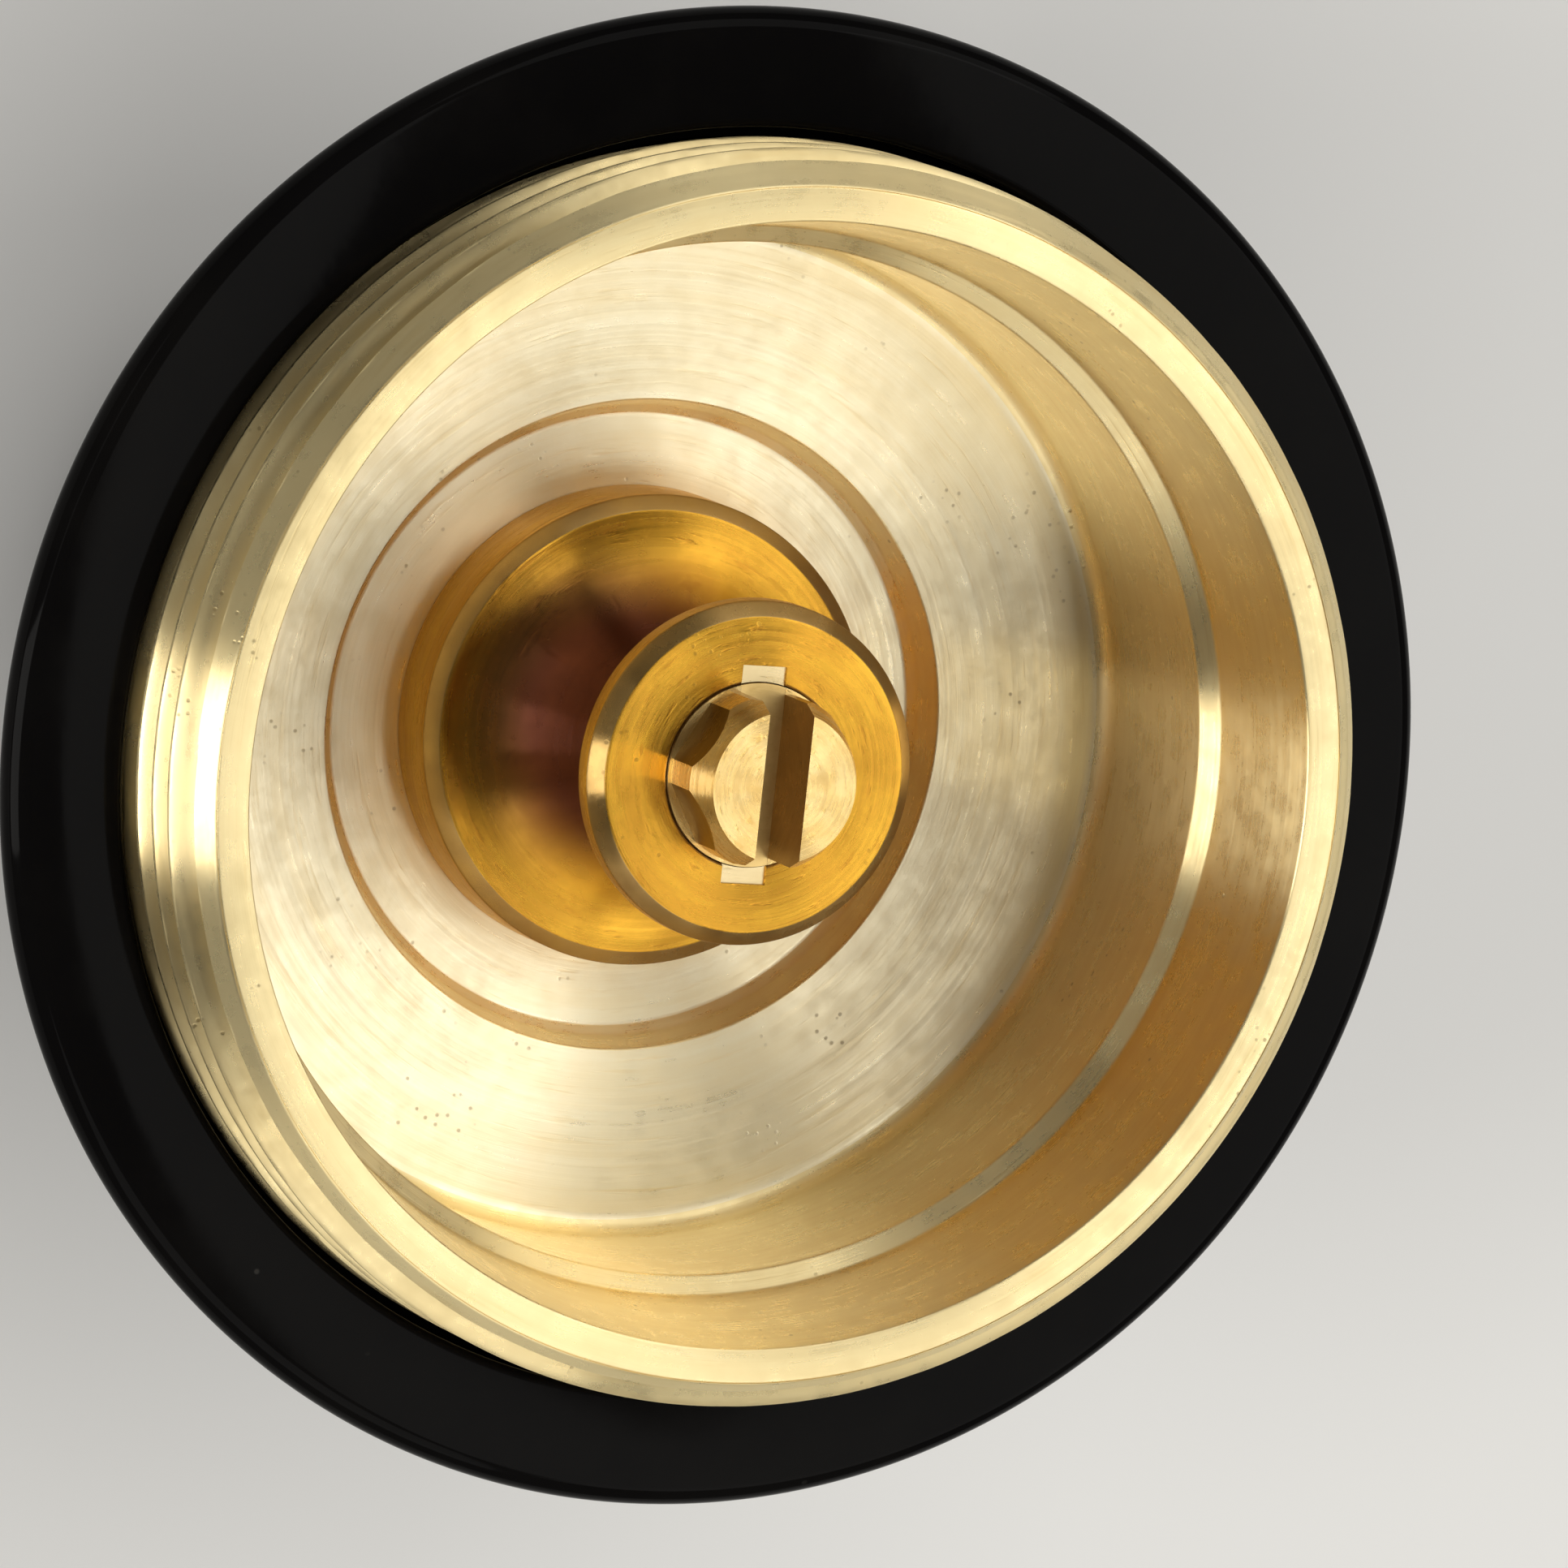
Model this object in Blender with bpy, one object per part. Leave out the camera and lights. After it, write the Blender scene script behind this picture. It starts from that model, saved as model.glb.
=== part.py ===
"""Threaded brass cup with a centre post and a slotted adjusting screw, in a round black body.

Metres, +Z up. The origin is on the axis, in the plane that the object stands on.
"""
import math

import bmesh
import bpy
from mathutils import Matrix, Vector

MM = 0.001

# Driving dimensions, in millimetres until turned() and the cutters scale them.
RIM_Z = 28.0                 # height of the cup's flat rim
GAP = 0.3                    # clearance kept between touching pieces
SMALL_BREAK = 0.2            # chamfer on plain corners
BODY_R = 25.25               # black body
SHOULDER_DROP = 5.1          # rim down to the inner edge of the black shoulder
SHOULDER_FALL = 0.2          # the shoulder falls this much towards its rounded edge
BODY_EDGE_R = 0.8
SIDE_TAPER = math.radians(22.0)      # of the body's side below the shoulder
FOOT_EDGE = 0.5
THREAD_R = 21.0              # M42 x 1.5, right-hand
THREAD_PITCH = 1.5
THREAD_DEPTH = 0.92
THREAD_ROWS_PER_TURN = 7
THREAD_LENGTH = 6.4          # from the rim
THREAD_POCKET_DEPTH = 7.0    # of the wide part of the body's bore, from the rim
RIM_OUTER_R = 20.03
RIM_INNER_R = 18.82
COLLAR_CHAMFER = 1.2         # height of the chamfer between the rim and the thread
CUP_BODY_R = 18.6            # below the thread
CUP_EDGE = 0.4
UPPER_WALL_R = 18.48         # the bore widens from the ledge to here, then a little faster to the rim
UPPER_WALL_DROP = 2.36
LEDGE_R = 18.03              # upper edge of the slanted ledge
LEDGE_DROP = 5.45
WALL_R = 17.4                # lower wall
WALL_DROP = 5.88             # lower edge of the slanted ledge
FLOOR_DROP = 13.62           # rim to the cup's floor
FLOOR_FILLET = 0.75
RECESS_DEPTH = 1.34
RECESS_R = 11.09
RECESS_FLOOR_R = 10.45
RECESS_CHAMFER = (0.35, 0.3)
CUP_BASE_THICKNESS = 3.0     # under the recess

FLANGE_R = 8.02
FLANGE_SIDE = 2.41
FLANGE_CHAMFER = (0.51, 0.32)
WAIST_R = 2.9
WAIST_RISE = 0.8             # waist above the middle between the flange and the head
HEAD_R = 5.79
HEAD_DROP = 2.79             # rim to the head's flat top
HEAD_CHAMFER = (0.5, 0.45)
HEAD_SIDE = 0.75
HEAD_UNDERCUT = 0.3          # small flat under the head's edge
BORE_R = 3.28                # the head's bore, which takes the hexagon of the screw
BORE_DEPTH = 1.66
SHANK_R = 3.0                # threaded shank of the post
SHANK_END = 4.6              # height of its lower end
SCREW_BORE_R = 1.8

SCREW_HEAD_R = 2.97          # 6 mm bar
SCREW_FLATS = 5.5
SCREW_DROP = 0.08            # rim down to the screw's top
SCREW_TOP_R = 2.54
SCREW_CHAMFER = 1.02
SCREW_SHANK_R = 1.5
SCREW_TAIL_CLEARANCE = 0.4   # over the cover
SLOT_WIDTH = 1.58
SLOT_ANGLE = math.radians(18.0)
SLOT_FLOOR_RISE = 0.02       # over the head's top
KERF_DEPTH = 0.12
KERF_REACH = 3.66

WASHER_R = 6.0
WASHER_THICKNESS = 0.8
SPRING_R = 5.5
SPRING_THICKNESS = 0.9
SPRING_SPLIT = 0.9
POST_NUT_FLATS = 10.0
POST_NUT_THICKNESS = 2.6
LOCK_NUT_FLATS = 5.5
LOCK_NUT_THICKNESS = 1.8

COVER_R = 14.2
COVER_THICKNESS = 1.5
FIXING_COUNT = 3
FIXING_CIRCLE_R = 10.6
FIXING_START = math.radians(80.0)
FIXING_SHANK_R = 1.2
FIXING_HEAD_R = 2.3
FIXING_HEAD_DEPTH = 1.2
FIXING_GRIP = 2.4            # length of a fixing screw inside the cup's base
DRIVER_SLOT = (0.7, 0.5)     # width and depth
BODY_BORE_R = 7.6            # room for the nuts

SEGMENTS_LARGE = 64
SEGMENTS_POST = 40
SEGMENTS_SMALL = 24
CUTTER_MARGIN = 1.0          # how far a cutter runs past the metal

FLOOR_Z = RIM_Z - FLOOR_DROP
RECESS_FLOOR_Z = FLOOR_Z - RECESS_DEPTH
CUP_UNDERSIDE = RECESS_FLOOR_Z - CUP_BASE_THICKNESS
SHOULDER_Z = RIM_Z - SHOULDER_DROP
HEAD_TOP_Z = RIM_Z - HEAD_DROP
SCREW_TOP_Z = RIM_Z - SCREW_DROP
COVER_TOP = GAP + COVER_THICKNESS


def remove_everything():
    """Empty the file that this script runs in."""
    for old in list(bpy.data.objects):
        bpy.data.objects.remove(old, do_unlink=True)


def make_material(name, colour, metallic, roughness):
    """A Principled material."""
    material = bpy.data.materials.new(name)
    material.use_nodes = True
    shader = material.node_tree.nodes["Principled BSDF"]
    shader.inputs["Base Color"].default_value = (*colour, 1.0)
    shader.inputs["Metallic"].default_value = metallic
    shader.inputs["Roughness"].default_value = roughness
    return material


def arc(centre_r, centre_z, radius_r, radius_z, start, end, steps):
    """Points of an elliptical arc in the (radius, height) plane; angles in degrees."""
    points = []
    for step in range(steps + 1):
        angle = math.radians(start + (end - start) * step / steps)
        points.append((centre_r + radius_r * math.cos(angle), centre_z + radius_z * math.sin(angle)))
    return points


def thread_radius(angle, height):
    """Radius of the M42 thread at an angle and a height: a 60 degree ridge that climbs to the right."""
    turns = (height - RIM_Z) / THREAD_PITCH - angle / math.tau
    from_crest = abs((turns + 0.5) % 1.0 - 0.5)
    crest_flat = 1 / 16
    root_flat = 1 / 8
    share = (from_crest - crest_flat) / (0.5 - crest_flat - root_flat)
    return THREAD_R - THREAD_DEPTH * min(max(share, 0.0), 1.0)


def turned(name, outline, segments, material, centre=(0.0, 0.0), threaded=()):
    """Turn a closed (radius, height) outline about a vertical axis through centre.

    Rows of the outline whose index is in threaded take the smaller of their own radius and the
    thread's. Points on the axis become a single vertex.
    """
    mesh_builder = bmesh.new()
    rings = []
    for row, (radius, height) in enumerate(outline):
        if radius == 0.0:
            rings.append([mesh_builder.verts.new((centre[0] * MM, centre[1] * MM, height * MM))])
            continue
        ring = []
        for index in range(segments):
            angle = math.tau * index / segments
            here = min(radius, thread_radius(angle, height)) if row in threaded else radius
            x = centre[0] + here * math.cos(angle)
            y = centre[1] + here * math.sin(angle)
            ring.append(mesh_builder.verts.new((x * MM, y * MM, height * MM)))
        rings.append(ring)
    for row, lower in enumerate(rings):
        upper = rings[(row + 1) % len(rings)]
        for index in range(segments):
            following = (index + 1) % segments
            corners = [lower[index % len(lower)], lower[following % len(lower)],
                       upper[following % len(upper)], upper[index % len(upper)]]
            corners = list(dict.fromkeys(corners))
            if len(corners) > 2:
                mesh_builder.faces.new(corners)
    bmesh.ops.recalc_face_normals(mesh_builder, faces=mesh_builder.faces)
    return finish(name, mesh_builder, material)


def hexagon_bar(name, across_flats, low, high, bore, material, turn=0.0):
    """A hexagonal prism about the Z axis, with a round bore when bore isn't zero."""
    mesh_builder = bmesh.new()
    corner_r = across_flats / math.sqrt(3.0)
    per_side = 4
    count = 6 * per_side

    def outer(index):
        side, step = divmod(index, per_side)
        start = turn + side * math.pi / 3
        end = start + math.pi / 3
        first = Vector((math.cos(start), math.sin(start)))
        second = Vector((math.cos(end), math.sin(end)))
        return first.lerp(second, step / per_side) * corner_r

    def ring(place, height):
        return [mesh_builder.verts.new((*(place(index) * MM), height * MM)) for index in range(count)]

    def inner(index):
        angle = turn + math.tau * index / count
        return Vector((math.cos(angle), math.sin(angle))) * bore

    loops = [ring(outer, low), ring(outer, high)]
    if bore:
        loops += [ring(inner, high), ring(inner, low)]
        pairs = zip(loops, loops[1:] + loops[:1])
    else:
        mesh_builder.faces.new(loops[0])
        mesh_builder.faces.new(loops[1])
        pairs = [(loops[0], loops[1])]
    for first, second in pairs:
        for index in range(count):
            following = (index + 1) % count
            mesh_builder.faces.new((first[index], first[following], second[following], second[index]))
    bmesh.ops.recalc_face_normals(mesh_builder, faces=mesh_builder.faces)
    return finish(name, mesh_builder, material)


def block(name, size, centre, turn=0.0):
    """A cutter: a box turned about the vertical through its own centre."""
    mesh_builder = bmesh.new()
    bmesh.ops.create_cube(mesh_builder, size=1.0)
    place = Matrix.Translation(Vector(centre) * MM) @ Matrix.Rotation(turn, 4, "Z")
    place = place @ Matrix.Diagonal((*(Vector(size) * MM), 1.0))
    bmesh.ops.transform(mesh_builder, matrix=place, verts=mesh_builder.verts)
    return as_cutter(finish(name, mesh_builder, None))


def finish(name, mesh_builder, material):
    """Make the object, smooth where it is round."""
    mesh = bpy.data.meshes.new(name)
    mesh_builder.to_mesh(mesh)
    mesh_builder.free()
    mesh.shade_smooth()
    mesh.set_sharp_from_angle(angle=math.radians(30))
    made = bpy.data.objects.new(name, mesh)
    bpy.context.scene.collection.objects.link(made)
    if material:
        mesh.materials.append(material)
    return made


def as_cutter(tool):
    """Mark an object as a tool that isn't part of the model."""
    tool.hide_render = True
    tool.display_type = "WIRE"
    return tool


def cut(piece, tool, operation="DIFFERENCE"):
    """Cut a piece with a tool, or keep only what the two share."""
    modifier = piece.modifiers.new(tool.name, "BOOLEAN")
    modifier.operation = operation
    modifier.solver = "EXACT"
    modifier.object = tool


def set_pivot(piece, pivot):
    """Put an object's origin at a point of its joint's axis, leaving the mesh where it is."""
    offset = Vector(pivot) * MM
    piece.data.transform(Matrix.Translation(-offset))
    piece.location = offset


def make_outer_body(black):
    """The black body: flat shoulder, rounded edge, tapered side, stepped bore, rebate for the cover."""
    edge_centre_z = SHOULDER_Z - SHOULDER_FALL - BODY_EDGE_R
    pocket_z = RIM_Z - THREAD_POCKET_DEPTH
    bore_r = THREAD_R + GAP
    lower_bore_r = CUP_BODY_R + GAP
    rebate_r = COVER_R + GAP
    tangent = math.degrees(SIDE_TAPER)
    side_r = BODY_R - BODY_EDGE_R + BODY_EDGE_R * math.cos(SIDE_TAPER)
    side_z = edge_centre_z - BODY_EDGE_R * math.sin(SIDE_TAPER)
    foot_r = side_r - (side_z - FOOT_EDGE) * math.tan(SIDE_TAPER)
    outline = [(rebate_r, 0.0), (foot_r - FOOT_EDGE, 0.0), (foot_r, FOOT_EDGE)]
    outline += arc(BODY_R - BODY_EDGE_R, edge_centre_z, BODY_EDGE_R, BODY_EDGE_R, -tangent, 86, 6)
    outline += [
        (bore_r + SMALL_BREAK, SHOULDER_Z),
        (bore_r, SHOULDER_Z - SMALL_BREAK),
        (bore_r, pocket_z),
        (lower_bore_r, pocket_z - SMALL_BREAK),
        (lower_bore_r, CUP_UNDERSIDE - GAP),
        (BODY_BORE_R, CUP_UNDERSIDE - GAP),
        (BODY_BORE_R, COVER_TOP + GAP),
        (rebate_r, COVER_TOP + GAP),
    ]
    return turned("outer_body", outline, SEGMENTS_LARGE, black)


def make_threaded_cup(brass):
    """The cup: a tapered bore, a slanted ledge, a filleted floor with a recess, a thread outside."""
    rows = round((THREAD_LENGTH - COLLAR_CHAMFER) / THREAD_PITCH * THREAD_ROWS_PER_TURN)
    chamfer_rows = 5
    collar = []
    for row in range(chamfer_rows):
        share = row / chamfer_rows
        collar.append((RIM_OUTER_R + (THREAD_R - RIM_OUTER_R) * share, RIM_Z - COLLAR_CHAMFER * share))
    for row in range(rows + 1):
        share = row / rows
        collar.append((THREAD_R, RIM_Z - COLLAR_CHAMFER - (THREAD_LENGTH - COLLAR_CHAMFER) * share))
    outline = collar + [
        (CUP_BODY_R, RIM_Z - THREAD_LENGTH),
        (CUP_BODY_R, CUP_UNDERSIDE + CUP_EDGE),
        (CUP_BODY_R - CUP_EDGE, CUP_UNDERSIDE),
        (SHANK_R + GAP, CUP_UNDERSIDE),
        (SHANK_R + GAP, RECESS_FLOOR_Z),
        (RECESS_FLOOR_R, RECESS_FLOOR_Z),
        (RECESS_FLOOR_R + RECESS_CHAMFER[0], RECESS_FLOOR_Z + RECESS_CHAMFER[1]),
        (RECESS_R, FLOOR_Z),
    ]
    outline += arc(WALL_R - FLOOR_FILLET, FLOOR_Z + FLOOR_FILLET, FLOOR_FILLET, FLOOR_FILLET, -90, 0, 4)
    outline += [
        (WALL_R, RIM_Z - WALL_DROP),
        (LEDGE_R, RIM_Z - LEDGE_DROP),
        (UPPER_WALL_R, RIM_Z - UPPER_WALL_DROP),
        (RIM_INNER_R, RIM_Z),
    ]
    return turned("threaded_cup", outline, SEGMENTS_LARGE, brass, threaded=range(len(collar)))


def make_centre_post(post_brass):
    """The spool: chamfered flange, trumpet waist, disc head, hollow threaded shank."""
    flange_low = RECESS_FLOOR_Z + GAP
    flange_high = RECESS_FLOOR_Z + FLANGE_SIDE
    flange_top = flange_high + FLANGE_CHAMFER[1]
    flange_top_r = FLANGE_R - FLANGE_CHAMFER[0]
    head_low = HEAD_TOP_Z - HEAD_CHAMFER[1] - HEAD_SIDE
    under_head_r = HEAD_R - HEAD_UNDERCUT
    waist_z = (flange_top + head_low) / 2 + WAIST_RISE
    outline = [(SHANK_R - SMALL_BREAK, SHANK_END), (SHANK_R, SHANK_END + SMALL_BREAK),
               (SHANK_R, flange_low)]
    outline += [(FLANGE_R, flange_low), (FLANGE_R, flange_high)]
    outline += arc(flange_top_r, waist_z, -(flange_top_r - WAIST_R), -(waist_z - flange_top), 90, 0, 7)
    outline += arc(under_head_r, waist_z, WAIST_R - under_head_r, head_low - waist_z, 12, 84, 5)
    outline += [
        (HEAD_R, head_low),
        (HEAD_R, HEAD_TOP_Z - HEAD_CHAMFER[1]),
        (HEAD_R - HEAD_CHAMFER[0], HEAD_TOP_Z),
        (BORE_R, HEAD_TOP_Z),
        (BORE_R, HEAD_TOP_Z - BORE_DEPTH),
        (SCREW_BORE_R, HEAD_TOP_Z - BORE_DEPTH),
        (SCREW_BORE_R, SHANK_END),
    ]
    post = turned("centre_post", outline, SEGMENTS_POST, post_brass)
    kerf_height = 2 * KERF_DEPTH
    kerf_size = (2 * KERF_REACH, SLOT_WIDTH, kerf_height)
    cut(post, block("kerf_cutter", kerf_size, (0, 0, HEAD_TOP_Z), SLOT_ANGLE))
    return post


def make_adjusting_screw(screw_brass):
    """The screw: a turned head with six flats, a chamfer, a full-depth slot, and a long shank."""
    head_low = HEAD_TOP_Z - BORE_DEPTH + GAP
    tail_z = COVER_TOP + SCREW_TAIL_CLEARANCE
    outline = [
        (0.0, SCREW_TOP_Z),
        (SCREW_TOP_R, SCREW_TOP_Z),
        (SCREW_HEAD_R, SCREW_TOP_Z - SCREW_CHAMFER),
        (SCREW_HEAD_R, head_low + SMALL_BREAK),
        (SCREW_HEAD_R - SMALL_BREAK, head_low),
        (SCREW_SHANK_R, head_low),
        (SCREW_SHANK_R, tail_z + SMALL_BREAK),
        (SCREW_SHANK_R - SMALL_BREAK, tail_z),
        (0.0, tail_z),
    ]
    screw = turned("adjusting_screw", outline, SEGMENTS_POST, screw_brass)
    flats_turn = SLOT_ANGLE + math.pi / 6
    flats_top = SCREW_TOP_Z + CUTTER_MARGIN
    flats = hexagon_bar("flats_cutter", SCREW_FLATS, -CUTTER_MARGIN, flats_top, 0.0, None, flats_turn)
    slot_height = 2 * (SCREW_TOP_Z - HEAD_TOP_Z - SLOT_FLOOR_RISE)
    slot_size = (2 * (SCREW_HEAD_R + CUTTER_MARGIN), SLOT_WIDTH, slot_height)
    cut(screw, as_cutter(flats), "INTERSECT")
    cut(screw, block("slot_cutter", slot_size, (0, 0, SCREW_TOP_Z), SLOT_ANGLE))
    set_pivot(screw, (0.0, 0.0, HEAD_TOP_Z))
    return screw


def ring_outline(outer, inner, low, high):
    """Outline of a plain washer."""
    return [(outer, low), (outer, high), (inner, high), (inner, low)]


def make_post_fastening(steel):
    """Washer, split spring washer and nut on the post's shank, and the small nut on the screw."""
    inner = SHANK_R + GAP
    washer_top = CUP_UNDERSIDE - GAP
    washer_low = washer_top - WASHER_THICKNESS
    spring_top = washer_low - GAP
    spring_low = spring_top - SPRING_THICKNESS
    nut_top = spring_low - GAP
    lock_top = SHANK_END - GAP
    turned("post_washer", ring_outline(WASHER_R, inner, washer_low, washer_top), SEGMENTS_POST, steel)
    spring_outline = ring_outline(SPRING_R, inner, spring_low, spring_top)
    spring = turned("post_lock_washer", spring_outline, SEGMENTS_POST, steel)
    split_size = (SPRING_R, SPRING_SPLIT, 3 * SPRING_THICKNESS)
    split_centre = (SPRING_R, 0.0, (spring_low + spring_top) / 2)
    cut(spring, block("split_cutter", split_size, split_centre))
    hexagon_bar("post_nut", POST_NUT_FLATS, nut_top - POST_NUT_THICKNESS, nut_top, inner, steel)
    lock_low = lock_top - LOCK_NUT_THICKNESS
    hexagon_bar("screw_lock_nut", LOCK_NUT_FLATS, lock_low, lock_top, SCREW_BORE_R, steel)


def fixing_place(index):
    """Centre of one of the fixing screws."""
    angle = FIXING_START + math.tau * index / FIXING_COUNT
    return (FIXING_CIRCLE_R * math.cos(angle), FIXING_CIRCLE_R * math.sin(angle))


def make_base_fixing(body, cup, black, steel):
    """The cover, its countersunk screws, and their holes in the cover, the body and the cup."""
    edge_r = COVER_R - SMALL_BREAK
    disc = [(0.0, GAP), (edge_r, GAP), (COVER_R, GAP + SMALL_BREAK),
            (COVER_R, COVER_TOP), (0.0, COVER_TOP)]
    cover = turned("base_cover", disc, SEGMENTS_LARGE, black)
    hole_r = FIXING_SHANK_R + GAP
    head_low = GAP
    shank_top = CUP_UNDERSIDE + FIXING_GRIP
    slot_size = (2 * (FIXING_HEAD_R + CUTTER_MARGIN), DRIVER_SLOT[0], 2 * DRIVER_SLOT[1])
    for index in range(FIXING_COUNT):
        centre = fixing_place(index)
        number = index + 1
        screw_outline = [
            (0.0, head_low),
            (FIXING_HEAD_R, head_low),
            (FIXING_SHANK_R, head_low + FIXING_HEAD_DEPTH),
            (FIXING_SHANK_R, shank_top),
            (0.0, shank_top),
        ]
        screw = turned(f"cover_screw_{number}", screw_outline, SEGMENTS_SMALL, steel, centre)
        slot_turn = math.tau * number / (FIXING_COUNT * FIXING_COUNT)
        cut(screw, block(f"driver_slot_{number}", slot_size, (*centre, head_low), slot_turn))
        sink_outline = [
            (0.0, -CUTTER_MARGIN),
            (FIXING_HEAD_R + GAP + CUTTER_MARGIN, -CUTTER_MARGIN),
            (hole_r, head_low + FIXING_HEAD_DEPTH),
            (hole_r, shank_top + GAP),
            (0.0, shank_top + GAP),
        ]
        tool = as_cutter(turned(f"hole_cutter_{number}", sink_outline, SEGMENTS_SMALL, None, centre))
        for piece in (cover, body, cup):
            cut(piece, tool)


def build():
    """Make every piece."""
    remove_everything()
    black = make_material("black_gloss", (0.006, 0.006, 0.007), 0.0, 0.12)
    brass = make_material("brass", (0.80, 0.62, 0.33), 1.0, 0.28)
    post_brass = make_material("post_brass", (0.80, 0.50, 0.16), 1.0, 0.25)
    screw_brass = make_material("screw_brass", (0.82, 0.62, 0.28), 1.0, 0.28)
    steel = make_material("steel", (0.55, 0.55, 0.56), 1.0, 0.35)
    body = make_outer_body(black)
    cup = make_threaded_cup(brass)
    make_centre_post(post_brass)
    make_adjusting_screw(screw_brass)
    make_post_fastening(steel)
    make_base_fixing(body, cup, black, steel)


build()
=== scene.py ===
"""Looks of the threaded brass cup: fine turned meshes, procedural metal and studio light."""
import math

import bmesh
import bpy
from mathutils import Matrix, Vector


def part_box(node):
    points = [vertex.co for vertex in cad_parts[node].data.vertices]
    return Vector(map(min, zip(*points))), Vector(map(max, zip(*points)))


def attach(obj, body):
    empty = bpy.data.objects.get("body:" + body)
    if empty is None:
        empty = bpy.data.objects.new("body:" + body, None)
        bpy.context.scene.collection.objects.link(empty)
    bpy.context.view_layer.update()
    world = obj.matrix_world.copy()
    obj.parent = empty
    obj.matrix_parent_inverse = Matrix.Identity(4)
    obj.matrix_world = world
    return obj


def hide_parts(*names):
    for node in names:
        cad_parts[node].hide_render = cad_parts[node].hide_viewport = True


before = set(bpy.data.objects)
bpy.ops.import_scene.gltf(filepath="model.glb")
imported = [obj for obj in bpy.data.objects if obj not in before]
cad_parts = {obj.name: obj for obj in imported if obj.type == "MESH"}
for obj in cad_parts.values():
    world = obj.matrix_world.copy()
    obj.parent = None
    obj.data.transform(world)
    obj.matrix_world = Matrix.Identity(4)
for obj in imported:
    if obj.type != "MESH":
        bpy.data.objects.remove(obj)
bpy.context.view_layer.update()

MM = 0.001


def node_box(node):
    """Lowest and highest corner of a CAD node, in millimetres."""
    low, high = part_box(node)
    return Vector(low) / MM, Vector(high) / MM


CUP_LOW, CUP_HIGH = node_box("threaded_cup")
BODY_HIGH = node_box("outer_body")[1]
POST_LOW, POST_HIGH = node_box("centre_post")
SCREW_LOW, SCREW_HIGH = node_box("adjusting_screw")
COVER_HIGH = node_box("base_cover")[1]

# Millimetres. Heights and outer radii are worked out from the frame.
GAP = 0.3                    # between pieces that don't touch
SMALL_BREAK = 0.2
RIM_Z = CUP_HIGH.z
THREAD_R = CUP_HIGH.x
THREAD_PITCH = 1.5
THREAD_DEPTH = 0.92
THREAD_LENGTH = 6.4
THREAD_CREST_SHARE = 0.06    # of a turn, each side of the crest
THREAD_ROOT_SHARE = 0.10
RIM_OUTER_R = 20.03
RIM_INNER_R = 18.82
COLLAR_CHAMFER = 1.2
CUP_BODY_R = 18.6
CUP_FOOT_BREAK = 0.4
UPPER_WALL_R = 18.48
UPPER_WALL_Z = RIM_Z - 2.36
LEDGE_R = 18.03
LEDGE_Z = RIM_Z - 5.45
WALL_R = 17.4
WALL_Z = RIM_Z - 5.88
FLOOR_Z = RIM_Z - 13.62
FLOOR_FILLET = 0.75
RECESS_DEPTH = 1.34
RECESS_R = 11.09
RECESS_FLOOR_R = 10.45
RECESS_FLOOR_Z = FLOOR_Z - RECESS_DEPTH
RECESS_FILLET = (0.35, 0.3)

BODY_R = 25.25
SHOULDER_Z = BODY_HIGH.z
SHOULDER_FALL = 0.2
BODY_EDGE_R = 0.8
SIDE_TAPER = math.radians(22.0)
FOOT_EDGE = 0.5
THREAD_POCKET_DEPTH = 7.0
BODY_BORE_R = 7.6            # clears the nut under the cup

FLANGE_R = POST_HIGH.x
HEAD_TOP_Z = POST_HIGH.z
FLANGE_SIDE_Z = RECESS_FLOOR_Z + 2.41
FLANGE_TOP_Z = FLANGE_SIDE_Z + 0.32
FLANGE_TOP_R = FLANGE_R - 0.51
WAIST_R = 2.9
WAIST_RISE = 0.8             # of the waist over the middle of the flare
FLARE_STEPS = 40
HEAD_R = 5.79
HEAD_CHAMFER = (0.5, 0.45)
HEAD_SIDE = 0.75
BORE_R = 3.12
BORE_DEPTH = 1.66
BORE_BREAK = 0.06
SHANK_R = 3.0
SCREW_TUNNEL_R = 1.8         # through the shank
POST_REST = 0.02             # of air under the flange
HEAD_UNDERCUT = 0.3

SCREW_TOP_Z = SCREW_HIGH.z
SCREW_HEAD_R = 2.97
SCREW_FLATS = 5.5
SCREW_SHANK_R = 1.5
SCREW_TOP_R = 2.54
SCREW_CHAMFER = 1.02
SCREW_COLLAR_R = 3.08        # round foot of the hexagon, level with the head's top
SCREW_COLLAR_RISE = 0.03
SCREW_COLLAR_SINK = 0.4
SCREW_SHARP_ANGLE = math.radians(12.0)    # keeps the edges between flats and rounds
SLOT_FLOOR_RISE = 0.02
SLOT_WIDTH = 1.58
SLOT_ANGLE = math.radians(18.0)
KERF_DEPTH = 0.1
KERF_REACH = 3.66

LEVEL = 0.9                  # least upward part of a level face's normal
CHAMFER_SLOPES = (0.3, 0.93)

# Painted shade on the post's flare: dark maroon near the neck, under the head, stands in for the shade and
# dark reflections there.
PAINTED_SHADE_R = 6.0
PAINTED_SHADE_LOW_Z = FLANGE_TOP_Z - 0.2
PAINTED_SHADE_HIGH_Z = HEAD_TOP_Z - 1.2
FLARE_PAINTED_SHADE = (PAINTED_SHADE_R, PAINTED_SHADE_LOW_Z, PAINTED_SHADE_HIGH_Z, (0.13, 0.045, 0.03))
PAINTED_SHADE_LEAN = 0.35            # how far the painted shade on the post's flare leans to the near side
PAINTED_SHADE_EDGE = 0.4

SURROUND_STRENGTH = 0.12
SOFT_WHITE = (1.0, 0.985, 0.95)
KEY_WHITE = (1.0, 0.98, 0.94)
SIDE_DIRECTION = (1.0, 0.15, 0.95)
SIDE_RADIANCE = 1.7
PANEL_DISTANCE = 0.55       # metres

FINE = 384                   # segments of the large turned pieces
MEDIUM = 256


# ---------------------------------------------------------------- camera

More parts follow.
